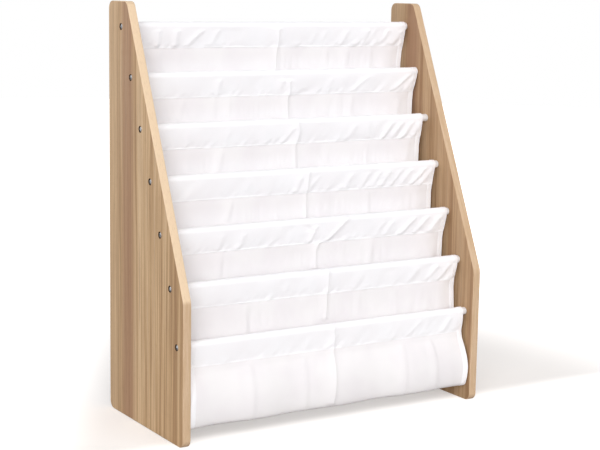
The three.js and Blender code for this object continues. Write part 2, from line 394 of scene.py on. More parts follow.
# The attribute's value also carries painted light, low on the upper walls.
layers = spot.node("ShaderNodeAttribute", {"attribute_name": "layers"}, None, "Fac")
one_layer = clouds.between(colour(239, 235, 236), colour(242, 239, 239))
two_layers = clouds.between(colour(252, 250, 252), colour(253, 252, 254))
cotton_colour = layers.between(one_layer, two_layers)
cotton_colour = (slubs.fade(0.58, 0.72) * 0.2).between(cotton_colour, colour(238, 235, 237))
finish_material(spot, {
    "Base Color": cotton_colour,
    "Roughness": 0.78 + slubs * 0.1,
    "Specular IOR Level": 0.2,
    "Sheen Weight": 0.12,
    "Sheen Roughness": 0.5,
    "Normal": (warp * weft * 0.5 + slubs).bump(0.00012, 0.35),
})

white_thread, spot = new_material("white_thread")
twist = spot.noise(2500.0, 1.0)
finish_material(spot, {
    "Base Color": twist.between(colour(240, 240, 242), colour(252, 252, 252)),
    "Roughness": 0.5 + twist * 0.2,
    "Normal": twist.bump(0.0001, 0.4),
})
print("white_cotton and white_thread are ready")

# %% [markdown]
# ## Where the rods are
#
# Everything hangs on the seven rods, so their axes are read from the CAD model once, and all that follows
# is placed from them. They count from the top down.

# %% Read the rods' axes
rods = []
for number in range(1, 8):
    low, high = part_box(f"dowel_{number}")
    rods.append((low + high) / 2)
rod_length = high.x - low.x
rod_radius = 0.007
rack_width = cad_high.x - cad_low.x
front_y, back_y, rack_top = cad_low.y, cad_high.y, cad_high.z
print("rods at", [(round(rod.y, 4), round(rod.z, 4)) for rod in rods])


# %% Helpers that turn lists of points into objects
def new_mesh(name, points, faces, edges=()):
    """A mesh from points and from the point numbers of its faces or edges"""
    mesh = bpy.data.meshes.new(name)
    mesh.from_pydata(points, edges, faces)
    return mesh


def show(name, mesh, materials, smooth_degrees=None):
    """An object for a finished mesh, in its place"""
    piece = add_object(name, mesh)
    for material in materials:
        mesh.materials.append(material)
    if smooth_degrees is not None:
        mesh.shade_smooth()
        mesh.set_sharp_from_angle(angle=math.radians(smooth_degrees))
    return piece


def face_outward(mesh):
    """Merges what coincides, and turns every face of a closed mesh outward"""
    work = bmesh.new()
    work.from_mesh(mesh)
    bmesh.ops.remove_doubles(work, verts=work.verts, dist=1e-7)
    bmesh.ops.recalc_face_normals(work, faces=work.faces)
    open_edges = sum(not edge.is_manifold for edge in work.edges)
    work.to_mesh(mesh)
    work.free()
    return open_edges


print("the mesh helpers are ready")

# %% [markdown]
# ## The side boards
#
# Each board is a flat shape with five rounded corners: square at the back, short on top, and sloping down
# to a knee in front. An extruded curve would do for the outline, but the bolt holes and the edge strip
# need faces of their own. So the outline is worked out as points with outward directions, and rings of it
# are stacked from the outer face to the inner one. The first and last rings follow a small quarter circle,
# which rounds the arris. The holes are rings too, and the two flat faces are filled in between.

# %% Draw the board's outline
board_thickness, arris, top_depth, knee_height = 0.015, 0.0012, 0.073, 0.248
corner_radius, knee_radius = 0.014, 0.036
board_corners = [
    (front_y, 0.0, corner_radius, 20),
    (back_y, 0.0, corner_radius, 20),
    (back_y, rack_top, corner_radius, 20),
    (back_y - top_depth, rack_top, corner_radius, 20),
    (front_y, knee_height, knee_radius, 12),
]


def board_outline():
    """Points round the board and the outward direction at each, as pairs of Y and Z"""
    points, outward = [], []
    for place, (y, z, radius, steps) in enumerate(board_corners):
        corner = Vector((y, z))
        last, following = (
            (Vector(board_corners[(place + move) % 5][:2]) - corner).normalized()
            for move in (-1, 1)
        )
        half_angle = last.angle(following) / 2
        centre = corner + (last + following).normalized() * radius / math.sin(half_angle)
        first = corner + last * radius / math.tan(half_angle) - centre
        start = math.atan2(first.y, first.x)
        for turn in np.linspace(0, math.pi - 2 * half_angle, steps + 1):
            direction = np.array((math.cos(start + turn), math.sin(start + turn)))
            outward.append(direction)
            points.append(np.array(centre) + radius * direction)
    return np.array(points), np.array(outward)


edge_points, edge_outward = board_outline()
edge_steps = np.linalg.norm(np.roll(edge_points, -1, 0) - edge_points, axis=1)
print("the outline has", len(edge_points), "points and is", round(edge_steps.sum(), 3), "m long")

# %% Stack the rings and fill the faces
arris_steps, hole_steps = 5, 48
counterbore_radius, board_hole_radius, counterbore_depth = 0.006, 0.0035, 0.0036

arris_turns = np.linspace(0, math.pi / 2, arris_steps + 1)
ring_depths = arris * (1 - np.cos(arris_turns))
ring_insets = arris * (1 - np.sin(arris_turns))
ring_depths = np.concatenate([ring_depths, board_thickness - ring_depths[::-1]])
ring_insets = np.concatenate([ring_insets, ring_insets[::-1]])


def board_mesh(name, outward):
    """One board. The outward side is -1 on the left and +1 on the right."""
    corners, faces, edge_uv, kinds = [], [], {}, []
    count = len(edge_points)
    travelled = np.concatenate([[0], np.cumsum(edge_steps)])
    crossed = np.concatenate([[0], np.cumsum(np.hypot(np.diff(ring_depths), np.diff(ring_insets)))])

    def add_ring(depth, flat_points):
        start = len(corners)
        x = outward * (rack_width / 2 - depth)
        corners.extend((x, y, z) for y, z in flat_points)
        return list(range(start, start + len(flat_points)))

    def join(first, second, kind):
        for i in range(len(first)):
            j = (i + 1) % len(first)
            faces.append((first[i], first[j], second[j], second[i]))
            kinds.append(kind)

    rings = [
        add_ring(depth, edge_points - edge_outward * inset)
        for depth, inset in zip(ring_depths, ring_insets)
    ]
    for level in range(len(rings) - 1):
        first_face = len(faces)
        join(rings[level], rings[level + 1], 1)
        for i in range(count):
            edge_uv[first_face + i] = [
                (travelled[i], crossed[level]), (travelled[i + 1], crossed[level]),
                (travelled[i + 1], crossed[level + 1]), (travelled[i], crossed[level + 1]),
            ]

    turns = np.arange(hole_steps) * 2 * math.pi / hole_steps
    circle = np.stack([np.cos(turns), np.sin(turns)], axis=1)
    outer_holes, inner_holes = [], []
    for rod in rods:
        axis = np.array((rod.y, rod.z))
        mouth = add_ring(0, axis + circle * counterbore_radius)
        shoulder = add_ring(counterbore_depth, axis + circle * counterbore_radius)
        throat = add_ring(counterbore_depth, axis + circle * board_hole_radius)
        far_end = add_ring(board_thickness, axis + circle * board_hole_radius)
        join(mouth, shoulder, 2)
        join(shoulder, throat, 2)
        join(throat, far_end, 2)
        outer_holes.append(mouth)
        inner_holes.append(far_end)

    for loops in ([rings[0], *outer_holes], [rings[-1], *inner_holes]):
        flat = [corner for loop in loops for corner in loop]
        shapes = [[Vector((0, *corners[corner][1:])) for corner in loop] for loop in loops]
        for triangle in tessellate_polygon(shapes):
            faces.append(tuple(flat[corner] for corner in triangle))
            kinds.append(0)

    mesh = new_mesh(name, corners, faces)
    mesh.polygons.foreach_set("material_index", kinds)
    uv = mesh.uv_layers.new(name="along_edge")
    for polygon in mesh.polygons:
        for loop, place in zip(polygon.loop_indices, edge_uv.get(polygon.index, [])):
            uv.data[loop].uv = place
    open_edges = face_outward(mesh)
    print(name, "has", len(mesh.polygons), "faces and", open_edges, "open edges")
    return mesh


for side, outward in (("left", -1), ("right", 1)):
    board = show(
        f"{side}_board", board_mesh(f"{side}_board", outward), (oak_face, oak_edge, chipboard), 35
    )
    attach(board, "root")
    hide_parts(f"{side}_side_panel")

# %% [markdown]
# ## Parts that repeat
#
# Seven rods and fourteen bolts are each one shape many times over. The shape is turned once, as on a
# lathe, from a profile of places along its axis and radii. Geometry Nodes then set it on a point for each
# place, turn those on the right side round, and give every bolt its own turn about its axis, because
# nobody tightens two bolts to the same angle. The tree ends in Realize Instances, so what comes out is a
# plain mesh.


# %% Turn a shape on a lathe
def lathe(name, profile, sides):
    """A closed mesh with its axis along X, from pairs of place and radius"""
    corners, faces, rings = [], [], []
    for place, radius in profile:
        start = len(corners)
        if callable(radius):
            radii = [radius(2 * math.pi * i / sides) for i in range(sides)]
        else:
            radii = [radius] * (sides if radius > 0 else 1)
        for i, r in enumerate(radii):
            turn = 2 * math.pi * i / sides
            corners.append((place, r * math.cos(turn), r * math.sin(turn)))
        rings.append(list(range(start, len(corners))))
    for first, second in zip(rings, rings[1:]):
        for i in range(sides):
            j = (i + 1) % sides
            ends = [first[i % len(first)], first[j % len(first)]]
            ends += [second[j % len(second)], second[i % len(second)]]
            kept = [end for place, end in enumerate(ends) if end != ends[place - 1]]
            if len(kept) > 2:
                faces.append(kept)
    mesh = new_mesh(name, corners, faces)
    open_edges = face_outward(mesh)
    print(name, "has", len(mesh.polygons), "faces and", open_edges, "open edges")
    return mesh


def new_tree(name, inputs):
    """An empty Geometry Nodes tree with named inputs, and wires from them"""
    tree = bpy.data.node_groups.new(name, "GeometryNodeTree")
    kinds = {"Geometry": "NodeSocketGeometry", "Part": "NodeSocketObject"}
    kinds.update({"Finish": "NodeSocketMaterial", "Seed": "NodeSocketInt"})
    for title in ("Geometry", *inputs):
        kind = kinds.get(title, "NodeSocketFloat")
        tree.interface.new_socket(title, in_out="INPUT", socket_type=kind)
    tree.interface.new_socket("Geometry", in_out="OUTPUT", socket_type="NodeSocketGeometry")
    entry = tree.nodes.new("NodeGroupInput")
    return tree, {title: Wire(tree, entry.outputs[title]) for title in ("Geometry", *inputs)}


def close_tree(result, finish):
    """Ends a tree in Realize Instances and Set Material"""
    solid = result.node("GeometryNodeRealizeInstances", None, {0: result})
    painted = solid.node("GeometryNodeSetMaterial", None, {"Geometry": solid, "Material": finish})
    painted.node("NodeGroupOutput", None, {0: painted})


def grow(name, tree, points, edges, values):
    """Runs a tree on points and edges, and gives back a plain mesh"""
    seed_mesh = new_mesh(name + "_path", [tuple(point) for point in points], [], edges)
    carrier = add_object(name + "_path", seed_mesh)
    modifier = carrier.modifiers.new("grow", "NODES")
    modifier.node_group = tree
    for item in tree.interface.items_tree:
        if item.in_out == "INPUT" and item.name in values:
            modifier[item.identifier] = values[item.name]
    ready = carrier.evaluated_get(bpy.context.evaluated_depsgraph_get())
    mesh = bpy.data.meshes.new_from_object(ready)
    mesh.name = name
    bpy.data.objects.remove(carrier)
    bpy.data.meshes.remove(seed_mesh)
    return mesh


print("the lathe and the tree helpers are ready")

# %% Make the tree that sets parts in place
place_parts, given = new_tree("place_parts", ("Part", "Turn Range", "Seed", "Finish"))
part = given["Part"].node("GeometryNodeObjectInfo", None, {"Object": given["Part"]}, "Geometry")
own_turn = part.node("FunctionNodeRandomValue", {"data_type": "FLOAT"}, {
    2: 0.0, 3: given["Turn Range"], "Seed": given["Seed"],
}, 1)
on_right = part.node("GeometryNodeInputPosition").split("X") > 0.001
turns = part.node("ShaderNodeCombineXYZ", None, {"X": own_turn, "Z": on_right * math.pi})
placed = part.node("GeometryNodeInstanceOnPoints", None, {
    "Points": given["Geometry"], "Instance": part, "Rotation": turns,
})
close_tree(placed, given["Finish"])


def repeat(name, part_mesh, places, turn_range, material):
    """Copies of a part at several places, as one plain mesh"""
    pattern = add_object(name + "_part", part_mesh)
    values = {"Part": pattern, "Turn Range": turn_range, "Seed": 4, "Finish": material}
    mesh = grow(name, place_parts, places, [], values)
    bpy.data.objects.remove(pattern)
    return mesh


print("place_parts has", len(place_parts.nodes), "nodes")

# %% [markdown]
# ## The rods
#
# A rod is a 14 mm cylinder with softened ends and a blind bore in each end for its insert. The bore is
# hidden once the bolt is in, but the insert lies in it, and a rod without it would be a solid through
# another solid.

# %% Turn the rods
rod_end = rod_length / 2
bore_depth, bore_radius, rod_softening = 0.016, 0.0049, 0.0008
half_rod = [(rod_end - bore_depth, 0), (rod_end - bore_depth, bore_radius), (rod_end, bore_radius)]
half_rod += [
    (rod_end - rod_softening * (1 - math.cos(turn)), rod_radius - rod_softening * (1 - math.sin(turn)))
    for turn in np.linspace(0, math.pi / 2, 5)
]
rod_profile = [(-place, radius) for place, radius in half_rod] + half_rod[::-1]
rods_mesh = repeat(
    "rods", lathe("rod_part", rod_profile, 40), [(0, rod.y, rod.z) for rod in rods], 0.0, white_lacquer
)
rods_piece = show("rods", rods_mesh, (), 40)
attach(rods_piece, "root")
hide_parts(*(f"dowel_{number}" for number in range(1, 8)))
print("rods has", len(rods_mesh.polygons), "faces")

# %% [markdown]
# ## The bolts
#
# A button-head bolt has a low dome with a hexagon socket. Its profile is a lathe's, except that the socket
# has six sides, so there the radius depends on the angle. The head lies in its counterbore with a narrow
# gap round it, which is the dark ring that shows in the board. The chipboard wall in that gap is also
# painted dark, as painted shade.

# %% Turn the bolts
head_radius, head_height, head_rim = 0.00525, 0.0033, 0.001
shank_radius, shank_length, socket_flats, socket_depth = 0.003, 0.0229, 0.004, 0.002
tip_bevel, bearing_gap = 0.0008, 0.0003


def six_sided(grow_by):
    """The radius of a hexagon at each angle"""
    def radius(turn):
        from_flat = (turn + math.pi / 6) % (math.pi / 3) - math.pi / 6
        return (socket_flats / 2 + grow_by) / math.cos(from_flat)
    return radius


dome_rise = head_height - head_rim
dome_radius = (head_radius**2 + dome_rise**2) / (2 * dome_rise)


def dome_place(radius):
    """How far out the dome stands at this radius, as a place along the bolt"""
    return dome_radius - math.sqrt(dome_radius**2 - radius**2) - head_height


socket_floor = socket_depth - head_height
bolt_profile = [
    (socket_floor + 0.0004, 0), (socket_floor, six_sided(0)),
    (dome_place(0.0023) + 0.00012, six_sided(0)), (dome_place(0.0026), six_sided(0.0002)),
    *((dome_place(radius), radius) for radius in np.linspace(0.003, head_radius - 0.0002, 6)),
    (-head_rim + 0.00015, head_radius), (-0.0001, head_radius), (0, head_radius - 0.0001),
    (0, shank_radius), (shank_length - tip_bevel, shank_radius),
    (shank_length, shank_radius - tip_bevel), (shank_length, 0),
]
bearing_x = rack_width / 2 - counterbore_depth + bearing_gap
bolt_places = [(side * bearing_x, rod.y, rod.z) for side in (-1, 1) for rod in rods]
bolts_mesh = repeat("bolts", lathe("bolt_part", bolt_profile, 48), bolt_places, math.pi, bolt_steel)
bolts_piece = show("bolts", bolts_mesh, (), 32)
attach(bolts_piece, "root")
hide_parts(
    *(f"{side}_bolt_{number}" for side in ("left", "right") for number in range(1, 8))
)
print("bolts has", len(bolts_mesh.polygons), "faces")

# %% [markdown]
# ## The line of each sling
#
# Seen from the side, a sling is one line of cloth. It starts at a hidden hem, goes up behind its rod, over
# the top and down in front, in a slight S, to a seam that shuts the sleeve. From the seam it falls as the
# wall that books lean on, turns round at the bottom, and rises to the next rod's seam. The lowest sling has
# a flat bottom with a tight turn in front, bellies out, and goes on round the last rod with a second
# sleeve. Each stretch is a leg with its own row spacing: close rows where the cloth shows, and wide ones
# where it is hidden.

# %% Lay out the legs
cloth_thickness = 0.0006
cloth_radius = rod_radius + 0.0010
front_start, front_end = (0, -0.0070), (-0.0026, 0.0150)
sleeve_drop, seam_overlap = 0.0365, 0.006
front_layer, back_layer, hung_layer = -0.00065, 0.0003, 0.0011
wall_spread, spread_run, floor_gap, pocket_lift = 0.0015, 0.014, 0.0290, 0.0005
low_belly, low_widest_z, low_heel_share, low_side = 0.0242, 0.066, 0.78, 0.024
low_turn, low_back_run, low_floor_run = 0.006, 1.3, 3
visible_wall, seam_row_gap, low_scale = 0.062, 0.001, 1.3
row_gaps = {
    "hem": 0.004, "behind": 0.006, "over": 0.0029, "front": 0.0040, "wall": 0.0050, "deep": 0.0092,
    "round": 0.0058, "rise": 0.0092, "edge": 0.006, "low_round": 0.0046, "belly": 0.0056,
}


def run(points, spacing, close_start=0, close_end=0):
    """A leg: a fine line of points, and the distances of its rows, with closer rows at a seam"""
    points = np.array(points, float)
    length = np.linalg.norm(np.diff(points, axis=0), axis=1).sum()
    first, last = seam_row_gap * close_start, length - seam_row_gap * close_end
    count = max(1, round((last - first) / spacing))
    rows = np.linspace(first, last, count + 1)
    before = np.arange(close_start) * seam_row_gap
    after = length - np.arange(close_end)[::-1] * seam_row_gap
    return points, np.concatenate([before, rows, after])


def bow(centre, radius, first, last):
    """Points on an arc, from one angle to the other"""
    turns = np.linspace(first, last, 60)
    return [(centre[0] + radius * math.cos(t), centre[1] + radius * math.sin(t)) for t in turns]


def drop_line(y_start, y_end, z_start, z_end):
    """A fall whose Y eases from one value to the other near its start"""
    line = []
    for z in np.linspace(z_start, z_end, 80):
        share = min(1, abs(z - z_start) / spread_run)
        line.append((y_start + (y_end - y_start) * share * share * (3 - 2 * share), z))
    return line


def sleeve_legs(rod, scale):
    """Behind the rod, over it and down in front, from the hidden hem to the seam"""
    seam_z = rod.z - sleeve_drop
    reach = math.acos(cloth_radius / sleeve_drop)
    over = bow((rod.y, rod.z), cloth_radius, reach - math.pi / 2, math.pi)
    hem = [(rod.y + back_layer, seam_z - seam_overlap), (rod.y + back_layer, seam_z)]
    start, end = Vector(over[-1]), Vector((rod.y + front_layer, seam_z))
    front = interpolate_bezier(start, start + Vector(front_start), end + Vector(front_end), end, 60)
    front = [tuple(point[:2]) for point in front]
    return {
        "hem": run(hem, row_gaps["hem"] * scale),
        "behind": run([hem[1], over[0]], row_gaps["behind"] * scale),
        "over": run(over, row_gaps["over"] * scale),
        "front": run(front, row_gaps["front"] * scale, close_end=3),
    }


def low_pocket(back_y, front_y):
    """The lowest pocket's bottom: flat, with a tight turn in front, where it was folded"""
    bottom = floor_gap + cloth_thickness / 2
    heel = Vector((back_y + (front_y - back_y) * low_heel_share, bottom))
    back, front = Vector((back_y, low_widest_z)), Vector((front_y, low_widest_z))
    down, forward = Vector((0, -low_side)), Vector((-low_turn, 0))
    behind = interpolate_bezier(back, back + low_back_run * down, heel - low_floor_run * forward, heel, 60)
    before = interpolate_bezier(heel, heel + forward, front + down, front, 60)
    return [tuple(point[:2]) for point in (*behind, *before[1:])]


def sling_legs(index):
    """The legs of one sling in order, each with its name"""
    back, front = rods[index], rods[index + 1]
    is_low = index == 5
    scale, belly = (low_scale, low_belly) if is_low else (1.0, 0)
    legs = sleeve_legs(back, scale)
    back_seam_z, front_seam_z = back.z - sleeve_drop, front.z - sleeve_drop
    back_wall = back.y + front_layer - wall_spread
    front_wall = front.y + wall_spread + (front_layer if is_low else -front_layer)
    round_radius = (back_wall - front_wall + belly) / 2
    if is_low:
        round_z = low_widest_z
    else:
        round_z = front.z - (rods[6].z - floor_gap) + pocket_lift + round_radius
    shown_z = back_seam_z - visible_wall
    wall_line = drop_line(back.y + front_layer, back_wall, back_seam_z, shown_z)
    legs["wall"] = run(wall_line, row_gaps["wall"] * scale, close_start=3)
    legs["deep"] = run([(back_wall, shown_z), (back_wall, round_z)], row_gaps["deep"] * scale)

    if not is_low:
        hung_y = front.y + hung_layer
        bottom = bow((back_wall - round_radius, round_z), round_radius, 0, -math.pi)
        rise = drop_line(hung_y, front_wall, front_seam_z, round_z)[::-1]
        hem_end = (hung_y + seam_overlap * rod_radius / sleeve_drop, front_seam_z + seam_overlap)
        for name, line in (("round", bottom), ("rise", rise), ("edge", [(hung_y, front_seam_z), hem_end])):
            legs[name] = run(line, row_gaps[name])
        return legs

    belly_line = [
        (
            front.y + front_layer - (belly - wall_spread) * math.cos(share * math.pi / 2),
            round_z + (front_seam_z - round_z) * share,
        )
        for share in np.linspace(0, 1, 60)
    ]
    low_bottom = low_pocket(back_wall, back_wall - 2 * round_radius)
    legs["round"] = run(low_bottom, row_gaps["low_round"] * scale)
    legs["belly"] = run(belly_line, row_gaps["belly"], close_end=3)
    low_legs = sleeve_legs(front, scale)
    for name in ("front", "over", "behind", "hem"):
        points, rows = low_legs[name]
        legs["low_" + name] = (points[::-1], rows[-1] - rows[::-1])
    return legs


for index in (0, 5):
    print("the legs of sling", index + 1, "are", *sling_legs(index))

# %% [markdown]
# ## The hung cloth
#
# The line is carried across the width as a grid of points. A column of the grid is a thread that runs down
# the cloth, and a row is one that runs across. The columns are closer at the hems and at the middle crease.
# The side edges aren't quite straight: each sleeve is pushed along its rod a little differently, and most
# walls below draw in. The walls also have broad, soft upright waves. This is the shape that the cloth is
# held to, before it is relaxed.

# %% Carry the line across the width
cut_width, hem_width = 0.580, 0.0098
column_count, crowding, crowding_reach = 127, 0.05, 0.1
sleeve_ends = (0.2874, 0.2915, 0.2790, 0.2844, 0.2867, 0.2861, 0.2834)
seam_ends = (0.2862, 0.2868, 0.2785, 0.2825, 0.2835, 0.2845, 0.2855)
wall_ends = (0.2792, 0.2842, 0.2770, 0.2812, 0.2825, 0.2862, 0.2914)
low_round_end, hidden_inset, hidden_limit = 0.2868, 0.001, 0.286
sleeve_left, wall_left, low_left = -0.285, -0.2825, -0.2921
fold_height, fold_width, fold_fade = 0.0024, 0.165, 0.045
fold_shifts = (0.1, 0.62, 0.3, 0.85, 0.45, 0.05, 0.7)

edge_columns = np.array((0, 0.0032, 0.0064, 0.0088, 0.0099, 0.0112))
steps = np.linspace(-1, 1, column_count - 10)[1:-1]
steps = (steps - crowding * np.tanh(steps / crowding_reach)) / (1 - crowding)
middle_columns = cut_width / 2 + (cut_width / 2 - edge_columns[-1]) * steps
column_cut = np.concatenate([edge_columns, middle_columns, cut_width - edge_columns[::-1]])
column_cut -= cut_width / 2


def smooth(value, start, end):
    """Zero before the start, one past the end, and a soft step between them"""
    share = np.clip((value - start) / (end - start), 0, 1)
    return share * share * (3 - 2 * share)


def fold_wave(rod_index, x):
    """How far back a wall's broad waves lie, below one rod"""
    return fold_height * np.sin(2 * math.pi * (x / fold_width + fold_shifts[rod_index]))


def hung_sling(index):
    """Rows and columns of points, the distance along the cloth, and where each leg starts"""
    legs = sling_legs(index)
    line, starts = [], {}
    for name, (points, wanted) in legs.items():
        travelled = np.concatenate([[0], np.cumsum(np.linalg.norm(np.diff(points, axis=0), axis=1))])
        leg = np.stack([np.interp(wanted, travelled, points[:, axis]) for axis in (0, 1)], axis=1)
        starts[name] = len(line)
        line.extend(leg[:-1])
    line.append(leg[-1])
    line = np.array(line)
    starts["end"] = len(line) - 1
    along = np.concatenate([[0], np.cumsum(np.linalg.norm(np.diff(line, axis=0), axis=1))])

    sleeve, seam, wall = sleeve_ends[index], seam_ends[index], wall_ends[index]
    next_sleeve, next_seam, next_wall = sleeve_ends[index + 1], seam_ends[index + 1], wall_ends[index + 1]
    right_ends = {"hem": seam, "behind": seam, "over": sleeve, "front": sleeve, "wall": seam, "deep": wall}
    left_ends = dict.fromkeys(("wall", "deep", "round", "rise"), wall_left)
    if index == 5:
        right_ends.update(round=low_round_end, belly=next_wall, low_front=next_seam)
        right_ends.update(low_over=next_sleeve, low_behind=next_sleeve, low_hem=next_seam, end=next_seam)
        left_ends.update(round=low_left, belly=low_left)
    else:
        right_ends.update(round=wall, rise=min(next_wall - hidden_inset, hidden_limit))
        right_ends.update(edge=next_seam - hidden_inset, end=next_seam - hidden_inset)
    places = along[[starts[name] for name in right_ends]]
    right_edge = np.interp(along, places, list(right_ends.values()))
    left_edge = np.interp(along, places, [left_ends.get(name, sleeve_left) for name in right_ends])

    share = (column_cut + cut_width / 2) / cut_width
    x = left_edge[:, None] + (right_edge - left_edge)[:, None] * share[None, :]
    y = np.repeat(line[:, :1], column_count, axis=1)
    z = np.repeat(line[:, 1:], column_count, axis=1)
    back, front = rods[index], rods[index + 1]
    frontness = smooth(back.y - y, 0, back.y - front.y - cloth_radius - 0.0005)
    in_pocket = np.zeros(len(line))
    in_pocket[starts["wall"]:starts.get("low_front", starts["end"]) + 1] = 1
    in_pocket = in_pocket[:, None]
    back_pull = (1 - frontness) * smooth(back.z - sleeve_drop - z, 0, fold_fade) * in_pocket
    front_pull = frontness * smooth(front.z - sleeve_drop - z, 0, fold_fade) * in_pocket
    y = y + back_pull * fold_wave(index, x) + front_pull * fold_wave(index + 1, x)
    return np.stack([x, y, z], axis=2), along, starts


slings = [hung_sling(index) for index in range(6)]
print("rows", [len(along) for _, along, _ in slings])

# %% [markdown]
# ## Relaxing the cloth
#
# Real cloth buckles where it is a little too long for its place. The sleeves are cut wider than the rods
# let them lie, and sewing dragged the seam a few millimetres to one side, which is why their puckers lean.
# Blender's Cloth gives both: the grid is held along the rods and the seams, and a shape key of a wider,
# skewed cut tells the solver how long each thread really is. All six slings relax over the same frames. How
# far a point may move is capped, so no layer reaches its neighbour.

# %% Relax the six slings together
frame_count = 20
extra_width, seam_drag, seam_hold = 1.014, 0.0045, (-0.002, 0.014)
sideways_damping = np.array((0.3, 1.0, 1.0))
leg_caps = {
    "hem": 0.0002, "behind": 0.0008, "over": 0.0002, "front": 0.0014, "wall": 0.0050, "deep": 0.0040,
    "round": 0.0035, "rise": 0.0030, "edge": 0.0002, "belly": 0.0038, "low_front": 0.0014,
    "low_over": 0.0002, "low_behind": 0.0008, "low_hem": 0.0002,
}


def leg_rows(starts, name):
    """The rows of one leg, from its first row to the first row of the next one"""
    names = list(starts)
    return slice(starts[name], starts[names[names.index(name) + 1]] + 1)


def grid_numbers(rows, columns):
    """The number of each point of a grid in its mesh"""
    return np.arange(rows * columns).reshape(rows, columns)


def grid_faces(rows, columns):
    """The four corners of each face of a grid"""
    corner = grid_numbers(rows, columns)
    quads = np.stack([corner[:-1, :-1], corner[1:, :-1], corner[1:, 1:], corner[:-1, 1:]], axis=-1)
    return quads.reshape(-1, 4)


def start_relaxing(index):
    """A cloth object for one sling, held along its rod and seams"""
    hung, along, starts = slings[index]
    rows, columns = hung.shape[:2]
    mesh = new_mesh("relaxing", hung.reshape(-1, 3).tolist(), grid_faces(rows, columns).tolist())
    cloth = add_object("relaxing", mesh)

    dragged = np.zeros(rows)
    for name in ("front", "low_front"):
        if name in starts:
            span = leg_rows(starts, name)
            share = np.linspace(0, 1, span.stop - span.start)
            dragged[span] = share if name == "front" else 1 - share
    dragged[starts["wall"]:starts.get("low_front", rows)] = 1
    cut = hung.copy()
    cut[:, :, 0] = hung[:, :, 0] * extra_width + seam_drag * dragged[:, None]
    cloth.shape_key_add(name="hung")
    cut_key = cloth.shape_key_add(name="cut")
    cut_key.data.foreach_set("co", cut.ravel())

    held = np.zeros(rows, bool)
    for name in ("hem", "over", "edge", "low_over", "low_hem"):
        if name in starts:
            held[leg_rows(starts, name)] = True
    held[starts["wall"]] = True
    held[starts.get("low_front", 0)] = True
    held_corners = grid_numbers(rows, columns)[held].ravel().tolist()
    cloth.vertex_groups.new(name="held").add(held_corners, 1.0, "REPLACE")

    modifier = cloth.modifiers.new("relax", "CLOTH")
    solver = modifier.settings
    solver.vertex_group_mass, solver.rest_shape_key = "held", cut_key
    solver.quality, solver.mass, solver.air_damping = 4, 0.05, 4
    solver.tension_stiffness = solver.compression_stiffness = 20
    solver.shear_stiffness, solver.bending_stiffness = 10, 0.02
    modifier.point_cache.frame_start, modifier.point_cache.frame_end = 1, frame_count
    return cloth


def relax_all():
    """The relaxed grids of all six slings"""
    cloths = [start_relaxing(index) for index in range(6)]
    for number in range(1, frame_count + 1):
        bpy.context.scene.frame_set(number)
    depsgraph = bpy.context.evaluated_depsgraph_get()
    relaxed = []
    for cloth, (hung, along, starts) in zip(cloths, slings):
        found = np.empty(hung.size)
        cloth.evaluated_get(depsgraph).data.vertices.foreach_get("co", found)
        caps = np.zeros(len(along))
        for name in list(starts)[:-1]:
            caps[leg_rows(starts, name)] = np.maximum(caps[leg_rows(starts, name)], leg_caps[name])
        caps = np.convolve(np.pad(caps, 1, "edge"), (0.25, 0.5, 0.25), "valid")
        walls = slice(starts["wall"], starts.get("low_front", starts["end"]))
        from_seam = np.minimum(along - along[walls.start], along[walls.stop] - along)[walls]
        caps[walls] *= smooth(from_seam, *seam_hold)
        caps = caps[:, None, None] + 1e-6
        move = (found.reshape(hung.shape) - hung) * sideways_damping
        size = np.linalg.norm(move, axis=2, keepdims=True) + 1e-9
        relaxed.append(hung + move * caps * np.tanh(size / caps) / size)
        bpy.data.objects.remove(cloth)
        print("relaxed by up to", round(float(size.max()) * 1000, 2), "mm, then capped")
    bpy.context.scene.frame_set(1)
    return relaxed


relaxed_slings = relax_all()
print("the slings are", "relaxed")

# %% [markdown]
# ## A finer grid
#
# The solver's grid is coarse, to be quick. Twice as many rows and columns come from a curve through the
# points, which keeps the folds round. Small things are added on this finer grid.


# %% Double the rows and columns
def twice_as_fine(points, axis):
    """Adds a point between each two, on a smooth curve through their neighbours"""
    points = np.moveaxis(points, axis, 0)
    first, last = 2 * points[:1] - points[1:2], 2 * points[-1:] - points[-2:-1]
    padded = np.concatenate([first, points, last])
    finer = np.empty((2 * len(points) - 1, *points.shape[1:]))
    finer[::2] = points
    finer[1::2] = (9 * (padded[1:-2] + padded[2:-1]) - padded[:-3] - padded[3:]) / 16
    return np.moveaxis(finer, 0, axis)


fine_cut = twice_as_fine(column_cut, 0)
fine_slings = []
for relaxed, (_, along, starts) in zip(relaxed_slings, slings):
    grid = twice_as_fine(twice_as_fine(relaxed, 0), 1)
    fine_along = np.interp(np.arange(2 * len(along) - 1) / 2, np.arange(len(along)), along)
    fine_slings.append((grid, fine_along, {name: 2 * row for name, row in starts.items()}))
print("fine grids", [grid.shape[:2] for grid, _, _ in fine_slings])


def outward_normals(grid):
    """The cloth's normal at each point, towards the outside of its own sleeve"""
    down_cloth = np.gradient(grid, axis=0)
    across = np.gradient(grid, axis=1)
    normal = np.cross(down_cloth, across)
    return normal / np.linalg.norm(normal, axis=2, keepdims=True)


